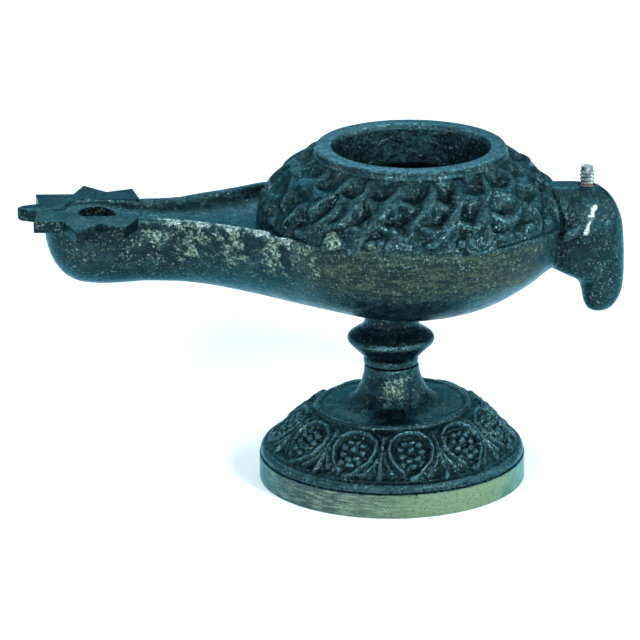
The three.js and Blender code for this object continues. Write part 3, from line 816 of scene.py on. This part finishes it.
def mark_body(mesh):
    """Where the body's metal is worn, pale or olive, where it has a near-white streak, and where light is
    painted: shade with some dust in hollows, a reflection on the rim's top.
    """
    x, y, z = points_of(mesh).T
    bend = bend_of(mesh)
    half, edge, keel = eased(HULL, np.clip(x, HULL[0, 0], HULL[-1, 0])).T
    radius = np.hypot(x - BOWL_X, y)
    dome = (radius < 44.5) & (z > 75.5) & (z < 94.6)
    side = smooth((edge + 0.5 - z) / 1.5) * smooth((z - keel - 1) / 6) * (np.abs(y) > half * 0.35 - 1)
    channel = np.interp(x, CHANNEL[:, 0], CHANNEL[:, 1])
    side *= ~((np.abs(y) < channel + 0.3) & (z > 72) & (x < -28))

    def line_from(start, end):
        return line_gap(lambda at: x - at, z, (start, end), 1.0)

    # Painted reflection on the rim's top, stronger towards the left; it is stored with the worn crests.
    rim_painted_reflection = smooth((z - 95.4) / 0.8) * (radius > 19) * (radius < 29)
    rim_painted_reflection *= 0.9 - 0.2 * np.tanh((x - BOWL_X) / 10)
    # Painted shade: the wick hole's inside darkened, and the hollows darker, more so on the dome.
    wick_hole_shade = (np.hypot(x - WICK_HOLE_X, y) < 5.4) & (z < STAR_TOP - 0.1) & (z > 60)
    hollow = np.maximum(clamp01(bend * 2.6 - 0.15) * np.where(dome, 1, 0.6), wick_hole_shade)
    # Two lines of painted shade, for grooves under the tuft.
    for start, end in (((45.6, 70.9), (51.8, 72.6)), ((45.6, 69.5), (51.6, 70.6))):
        hollow = np.maximum(hollow, bell(line_from(start, end)[0], 0.45) * (np.abs(y) > 5))

    neck = smooth((x + 80) / 14) * (1 - smooth((x + 30) / 22))
    ragged = 0.05 * np.sin(x * 0.55 + 1) + 0.03 * np.sin(x * 1.3 + z * 0.6)
    pale = side * (0.30 + (0.17 + ragged) * neck * smooth((z - 59) / 13)) * (x < 48)
    # Two pale balls low on the dome's near side.
    for ball_x, ball_z, reach in ((-17.0, 79.7, 2.6), (-6.6, 79.5, 1.5)):
        ball = smooth((reach - np.hypot(x - ball_x, z - ball_z)) / 1.6 + 0.5)
        pale = np.maximum(pale, 0.6 * ball * (y < 0) * (radius > 38))

    belly = smooth((x + 34) / 18) * (1 - smooth((x - 34) / 12))
    belly *= smooth((z - 60) / 8) * smooth((79.5 - z) / 3)
    facing = np.degrees(np.arctan2(x - BOWL_X, -y))
    fringe = smooth((facing + 42) / 8) * smooth((22 - facing) / 8)
    fringe *= smooth((82.5 - z) / 6) * (z > 75) * (radius > 40)

    wavy = 0.7 * np.sin(x * 0.8) + 0.4 * np.sin(x * 2.3)
    worn = smooth((z - edge + 2 + wavy) / 1.6) * smooth((x + 74) / 12) * (1 - smooth((x + 24) / 5))
    worn *= (y < 2 - half) * (radius > 43.2)

    # A near-white streak down the head's near side.
    gap, share = line_from((55.6, 81.0), (53.1, 73.8))
    wobble = 0.35 * np.sin(z * 2.9) + 0.25 * np.sin(z * 6.1 + 1)
    width = 0.42 + 0.22 * np.sin(share * 9)
    mark(
        mesh,
        # Worn crests, and the painted reflection on the rim's top.
        crest=np.maximum(clamp01(-bend * 2.2), rim_painted_reflection),
        hollow=hollow,
        pale=pale,
        olive=np.maximum(side * (0.34 + 0.30 * belly) * (x < 46), 0.56 * fringe),
        edge=0.56 * worn,
        comb=smooth((x - 44) / 5) * (z > 47),
        chip=smooth((width + wobble * 0.5 - gap) / 0.35) * (y < 0) * (x > 50),
    )


def mark_foot(mesh):
    """Where the foot's metal is worn, pale, olive or brushed, and where its hollows get painted shade with
    some dust.
    """
    x, y, z = points_of(mesh).T
    bend = bend_of(mesh)
    trumpet = smooth((z - 23.5) / 3) * (y < 2)
    mark(
        mesh,
        crest=clamp01(-bend * 2.2),
        hollow=clamp01(bend * 2.4),
        pale=0.3 + 0.22 * trumpet * bell(x - 0.5, 5.5) * (z < 31.5),
        olive=0.3 * smooth((z - 8) / 4) * (1 - smooth((z - 21) / 2)),
        band=smooth((6.9 - z) / 0.3) * (np.hypot(x, y) > 37),
    )


def threads_tree(name, steel):
    """Rings of thread round a shank, from named sizes."""
    tree = bpy.data.node_groups.new(name, "GeometryNodeTree")
    sockets = {}
    for label, kind, default in (
        ("Shank radius", "NodeSocketFloat", 1.7), ("Crest radius", "NodeSocketFloat", 2.05),
        ("Pitch", "NodeSocketFloat", 1.05), ("Rings", "NodeSocketInt", 5), ("Foot", "NodeSocketFloat", 77.0),
        ("Top", "NodeSocketFloat", 90.5), ("First ring", "NodeSocketFloat", 84.7),
    ):
        socket = tree.interface.new_socket(label, in_out="INPUT", socket_type=kind)
        socket.default_value = default
        sockets[label] = socket.identifier
    tree.interface.new_socket("Geometry", in_out="OUTPUT", socket_type="NodeSocketGeometry")
    given = tree.nodes.new("NodeGroupInput").outputs

    def add(kind, inputs, **settings):
        return made(tree, kind, inputs, **settings).outputs[0]

    def maths(operation, a, b):
        return add("ShaderNodeMath", {0: a, 1: b}, operation=operation)

    def upward(height):
        return add("ShaderNodeCombineXYZ", {"Z": height})

    def lifted(shape, height):
        return add("GeometryNodeTransform", {"Geometry": shape, "Translation": upward(height)})

    def cone(below, above):
        return add("GeometryNodeMeshCone", {
            "Vertices": 40, "Radius Bottom": given[below], "Radius Top": given[above],
            "Depth": maths("MULTIPLY", given["Pitch"], 0.45),
        })

    shank = lifted(
        add("GeometryNodeMeshCylinder", {
            "Vertices": 40, "Radius": given["Shank radius"],
            "Depth": maths("SUBTRACT", given["Top"], given["Foot"]),
        }),
        maths("MULTIPLY", maths("ADD", given["Top"], given["Foot"]), 0.5),
    )
    # One ring: a wide double cone, repeated up the shank.
    upper = cone("Crest radius", "Shank radius")
    lower = lifted(cone("Shank radius", "Crest radius"), maths("MULTIPLY", given["Pitch"], -0.45))
    line = add("GeometryNodeMeshLine", {
        "Count": given["Rings"], "Start Location": upward(given["First ring"]),
        "Offset": upward(given["Pitch"]),
    })
    ring = add("GeometryNodeJoinGeometry", {0: [upper, lower]})
    copies = add("GeometryNodeInstanceOnPoints", {"Points": line, "Instance": ring})
    whole = add("GeometryNodeJoinGeometry", {0: [shank, copies]})
    real = add("GeometryNodeRealizeInstances", {0: whole})
    painted = add("GeometryNodeSetMaterial", {"Geometry": real, "Material": steel})
    made(tree, "NodeGroupOutput", {0: painted})
    return tree, sockets


def tone(name, description, default):
    return FloatVectorProperty(name=name, description=description, subtype="COLOR", size=3, min=0, max=1,
                               default=default)


class LampSizes(PropertyGroup):
    grain: FloatProperty(name="Surface grain", description="Edge length of the cast surface's mesh, in mm",
                         default=0.7, min=0.3, max=2.0)
    feather_height: FloatProperty(name="Feather height", description="Strength of the feathers' relief",
                                  default=1.0, min=0, max=2, subtype="FACTOR")
    leaf_height: FloatProperty(name="Leaf height", description="Strength of the foot's leafwork",
                               default=1.0, min=0, max=2, subtype="FACTOR")


class LampColours(PropertyGroup):
    dark: tone("Dark", "Darkest bronze", (0.0030, 0.0110, 0.0140))
    deep: tone("Deep", "Deep green-blue bronze", (0.0050, 0.0185, 0.0230))
    teal: tone("Teal", "Lighter clouds in the bronze", (0.0115, 0.0380, 0.0470))
    # Worn high places, and the painted reflection on the rim's top.
    crest: tone("Crest", "Worn high places", (0.055, 0.135, 0.165))
    # Painted glints: small bright specks.
    glint_tone: tone("Speck", "Small bright specks in the bronze", (0.17, 0.25, 0.24))
    sheen: tone("Sheen", "Tint of the bronze's shine", (0.48, 0.84, 1.0))
    # Painted shade in the hollows, with some dust.
    shade_and_dust: tone("Dust", "Dust in the hollows", (0.0025, 0.0085, 0.0075))
    olive: tone("Olive", "Olive patina", (0.007, 0.015, 0.009))
    olive_light: tone("Olive light", "Lighter olive patina", (0.043, 0.066, 0.038))
    pale: tone("Pale", "Pale patina", (0.05, 0.095, 0.07))
    pale_light: tone("Pale light", "Palest patina", (0.23, 0.30, 0.22))
    edge: tone("Edge", "Worn edge of the neck", (0.36, 0.43, 0.39))
    band: tone("Band", "Brushed base band", (0.050, 0.078, 0.078))
    band_light: tone("Band light", "Bright lines in the band", (0.19, 0.26, 0.18))
    band_green: tone("Band green", "Greener places of the band", (0.17, 0.24, 0.13))
    # A near-white streak on the head's near side.
    chip: tone("Chip", "Pale chip on the head", (0.85, 0.93, 0.90))
    steel: tone("Steel", "The stud's grey", (0.30, 0.34, 0.34))
    steel_dark: tone("Steel dark", "Grime on the stud", (0.08, 0.10, 0.10))
    rust: tone("Rust", "Rust at the stud's root", (0.12, 0.06, 0.035))
    ground: tone("Ground", "The floor", (0.90, 0.90, 0.90))
    ground_light: tone("Ground light", "Lighter places of the floor", (0.93, 0.93, 0.93))


class LAMP_OT_body(Operator):
    """Makes the cast lamp: bowl, dome of feathers, neck, star, head and ribbed stem"""
    bl_idname = "lamp.body"
    bl_label = "Lamp body"

    def execute(self, context):
        sizes, look = context.scene.lamp_sizes, context.scene.lamp_colours
        thing = cast_mass(sizes.grain)
        collar = with_round_corners([(0, 90), (24, 90), (25.8, 92), (27.2, 94.1), (26.9, 94.9), (26.4, 95.7),
                                     (26.4, RIM_TOP), (0, RIM_TOP)], 0.35)
        stem = with_round_corners([
            (0, 33.15), (7.6, 33.15), (7.7, 34.5), (7.5, 35.2), (8.9, 36.6), (10.7, 38.4), (12.0, 39.7),
            (12.3, 40.5), (12.0, 41.4), (10.6, 42.4), (8.6, 43.6), (7.5, 45.2), (7.3, 47.6), (8.6, 50.5),
            (8.6, 56), (0, 56),
        ], 0.5)
        for mesh in (
            channelled(star_plate()), feathered_dome(sizes.feather_height),
            turned("collar", collar, 160, BOWL_X), turned("stem", stem, 96, STEM_X),
        ):
            combined(thing, mesh, "UNION")
        bowl = with_round_corners([
            (0, 72), (38.6, 72), (39.2, 75.5), (36.5, 79.5), (30, 82.2), (22.4, 83.6), (20.9, 85.2),
            (21.5, 95.2), (22.4, RIM_TOP + 0.1), (22.4, RIM_TOP + 2), (0, RIM_TOP + 2),
        ], 0.4, 3)
        wick_hole = [(0, 66), (5.15, 66), (5.15, STAR_TOP + 3), (0, STAR_TOP + 3)]
        stud_hole = [(0, 76.7), (2.35, 76.7), (2.35, SHELF_HEIGHT + 2), (0, SHELF_HEIGHT + 2)]
        for mesh in (
            turned("bowl", bowl, 120, BOWL_X), loft("hollow", hull_rings(WALL, 24)),
            wick_way_cutter(), turned("wick_hole", wick_hole, 64, WICK_HOLE_X),
            turned("stud_hole", stud_hole, 32, STUD_X),
        ):
            combined(thing, mesh, "DIFFERENCE")
        mesh = thing.data
        mark_body(mesh)
        in_place(mesh, NOSE_UP)
        finish_shading(mesh)
        mesh.materials.clear()
        mesh.materials.append(patinated_bronze("body bronze", look))
        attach(thing, "root")
        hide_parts("lamp_body")
        return {"FINISHED"}


def lean_dish(points):
    """The foot is not quite true: between its moulding and its stem it leans and sits off its axis."""
    x, y, z = points.T
    share = np.minimum(clamp01((z - 9.4) / 9), clamp01((32 - z) / 9))
    return np.column_stack([x + 0.25 * share, y, z + 0.022 * x * share])


class LAMP_OT_foot(Operator):
    """Makes the turned foot with its band of leaves"""
    bl_idname = "lamp.foot"
    bl_label = "Foot"

    def execute(self, context):
        sizes, look = context.scene.lamp_sizes, context.scene.lamp_colours
        below = with_round_corners([
            (0, 17.4), (8, 17.4), (20.5, 16.8), (26.4, 13.2), (31.4, 8.4), (33.4, 5.0), (33.4, 0),
            (37.4, 0), (37.4, 6.85), (36.7, 6.95), (37.1, 7.5), (37.0, 8.5), (36.3, 9.4), (35.6, 9.45),
        ], 0.4)
        columns, rows = LEAF_GRID
        zone = curve_through(ZONE_PROFILE[::-1], rows)
        above = with_round_corners([
            (22.2, 20.5), (22.1, 21.0), (21.4, 21.7), (20.6, 21.6), (19.8, 21.0), (17.4, 21.0), (14.4, 21.6),
            (11.6, 23.2), (9.9, 25.2), (8.7, 27.6), (7.9, 30.4), (7.6, 32.85), (0, 32.85),
        ], 0.5)
        profile = np.vstack([below, zone[1:-1], above[1:]])
        angles = np.arange(LEAVES_ROUND * columns) * LEAF_PITCH / columns
        leaf = (angles - LEAF_PHASE) / LEAF_PITCH
        beyond = (leaf - np.round(leaf)) * LEAF_PITCH
        dart = LEAF_PITCH / 2 - np.abs(beyond)
        slope = np.gradient(zone, axis=0)
        slope /= np.hypot(*slope.T)[:, None]
        rings = []
        for i, (r, z) in enumerate(profile[1:-1]):
            row = i + 1 - len(below)
            if 0 <= row < len(zone) - 2:
                down = ZONE_LENGTH * (1 - (row + 1) / (len(zone) - 1))
                wide = np.radians(beyond) * (r * 0.6 + 29 * 0.4)
                lift = leaf_lift(wide, np.full(len(wide), down))
                ends = smooth((down - 1.5) / 2) * smooth((16.6 - down) / 1.5)
                darts = (1.3 * bell(np.radians(dart) * r, 0.75) - 0.5) * ends
                lift = np.maximum(lift, darts) * sizes.leaf_height
                out_r, out_z = slope[row + 1][1], -slope[row + 1][0]
                rings.append(ring_about(angles, r + out_r * lift, z + out_z * lift))
            else:
                rings.append(ring_about(angles, r, z))
        mesh = loft("foot_looks", rings, (profile[0][1], profile[-1][1]))
        mark_foot(mesh)
        set_points(mesh, lean_dish(points_of(mesh)))
        in_place(mesh)
        finish_shading(mesh)
        mesh.materials.append(patinated_bronze("foot bronze", look))
        thing = in_scene(mesh)
        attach(thing, "root")
        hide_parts("foot")
        return {"FINISHED"}


class LAMP_OT_stud(Operator):
    """Makes the threaded stud on the back of the head"""
    bl_idname = "lamp.stud"
    bl_label = "Threaded stud"

    def execute(self, context):
        steel = stud_steel("stud steel", context.scene.lamp_colours)
        tree, sockets = threads_tree("thread rings", steel)
        thing = in_scene(bpy.data.meshes.new("threaded_stud_looks"))
        step = thing.modifiers.new("thread", "NODES")
        step.node_group = tree
        step[sockets["Rings"]] = 5
        settled(thing)
        mesh = thing.data
        set_points(mesh, points_of(mesh) + (STUD_X, 0, 0))
        in_place(mesh, NOSE_UP)
        finish_shading(mesh, 50)
        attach(thing, "root")
        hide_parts("threaded_stud")
        return {"FINISHED"}


class LAMP_OT_stage(Operator):
    """Sets the floor, the soft lights and the camera"""
    bl_idname = "lamp.stage"
    bl_label = "Stage"

    def execute(self, context):
        scene = context.scene
        edge = 3.0
        floor = in_scene(mesh_of("floor", np.array([
            (-edge, -edge, 0), (edge, -edge, 0), (edge, edge, 0), (-edge, edge, 0),
        ]), [(0, 1, 2, 3)]))
        floor.data.materials.append(pale_ground("pale ground", scene.lamp_colours))
        world = bpy.data.worlds.new("studio")
        world.use_nodes = True
        sky = world.node_tree.nodes["Background"].inputs
        sky["Color"].default_value = (0.93, 0.97, 1.0, 1.0)
        sky["Strength"].default_value = 0.16
        scene.world = world
        scene.view_settings.view_transform = "Standard"
        target = Vector((CENTRE_SHIFT, 0, 50)) * MM
        for name, azimuth, rise, reach, width, tall, watts in (
            ("left window", -24, 30, 0.80, 0.10, 0.14, 5.4),
            ("right window", 36, 28, 0.80, 0.10, 0.14, 6.2),
            ("left softbox", -98, 22, 0.9, 0.35, 0.5, 3.2),
            ("right softbox", 96, 26, 0.9, 0.4, 0.55, 5.6),
            ("top softbox", 0, 84, 0.8, 0.5, 0.35, 2.8),
            ("back softbox", 180, 38, 1.0, 0.9, 0.35, 5.2),
        ):
            turn, climb = math.radians(azimuth), math.radians(rise)
            level = math.cos(climb)
            way = Vector((math.sin(turn) * level, -math.cos(turn) * level, math.sin(climb)))
            lamp = bpy.data.lights.new(name, "AREA")
            lamp.shape = "RECTANGLE"
            lamp.size, lamp.size_y = width, tall
            lamp.energy = watts
            lamp.color = (0.76, 0.94, 1.0)
            thing = bpy.data.objects.new(name, lamp)
            thing.location = target + way * reach
            thing.rotation_euler = (-way).to_track_quat("-Z", "Y").to_euler()
            scene.collection.objects.link(thing)
        rise, roll = VIEW_RISE, VIEW_ROLL
        ahead = Vector((0, math.cos(rise), -math.sin(rise)))
        right, up = Vector((1, 0, 0)), Vector((0, math.sin(rise), math.cos(rise)))
        aim_x = (VIEW_WIDTH / 2 - FOOT_COLUMN) * PIXEL + CENTRE_SHIFT - math.sin(roll) * AIM_HEIGHT
        camera = bpy.data.objects.new("camera", bpy.data.cameras.new("camera"))
        camera.data.sensor_width = SENSOR_WIDTH
        camera.data.lens = SENSOR_WIDTH * VIEW_DISTANCE / (VIEW_WIDTH * PIXEL)
        camera.data.clip_start = 0.01
        place = (Vector((aim_x, 0, AIM_HEIGHT)) - ahead * VIEW_DISTANCE) * MM
        rolled_right = right * math.cos(roll) + up * math.sin(roll)
        rolled_up = up * math.cos(roll) - right * math.sin(roll)
        basis = Matrix((rolled_right, rolled_up, -ahead)).transposed().to_4x4()
        camera.matrix_world = Matrix.Translation(place) @ basis
        scene.collection.objects.link(camera)
        scene.camera = camera
        return {"FINISHED"}


class LAMP_PT_panel(Panel):
    bl_label = "Bird lamp"
    bl_idname = "LAMP_PT_panel"
    bl_space_type = "VIEW_3D"
    bl_region_type = "UI"
    bl_category = "Bird lamp"

    def draw(self, context):
        layout = self.layout
        for group in (context.scene.lamp_sizes, context.scene.lamp_colours):
            for key in group.__annotations__:
                layout.prop(group, key)
        for step in STEPS:
            layout.operator(step.bl_idname)


STEPS = (LAMP_OT_body, LAMP_OT_foot, LAMP_OT_stud, LAMP_OT_stage)
CLASSES = (LampSizes, LampColours, *STEPS, LAMP_PT_panel)


def register():
    for item in CLASSES:
        bpy.utils.register_class(item)
    bpy.types.Scene.lamp_sizes = PointerProperty(type=LampSizes)
    bpy.types.Scene.lamp_colours = PointerProperty(type=LampColours)


def unregister():
    del bpy.types.Scene.lamp_sizes
    del bpy.types.Scene.lamp_colours
    for item in reversed(CLASSES):
        bpy.utils.unregister_class(item)


def main():
    register()
    bpy.ops.lamp.body()
    bpy.ops.lamp.foot()
    bpy.ops.lamp.stud()
    bpy.ops.lamp.stage()
    bpy.context.view_layer.update()


if __name__ == "__main__":
    main()
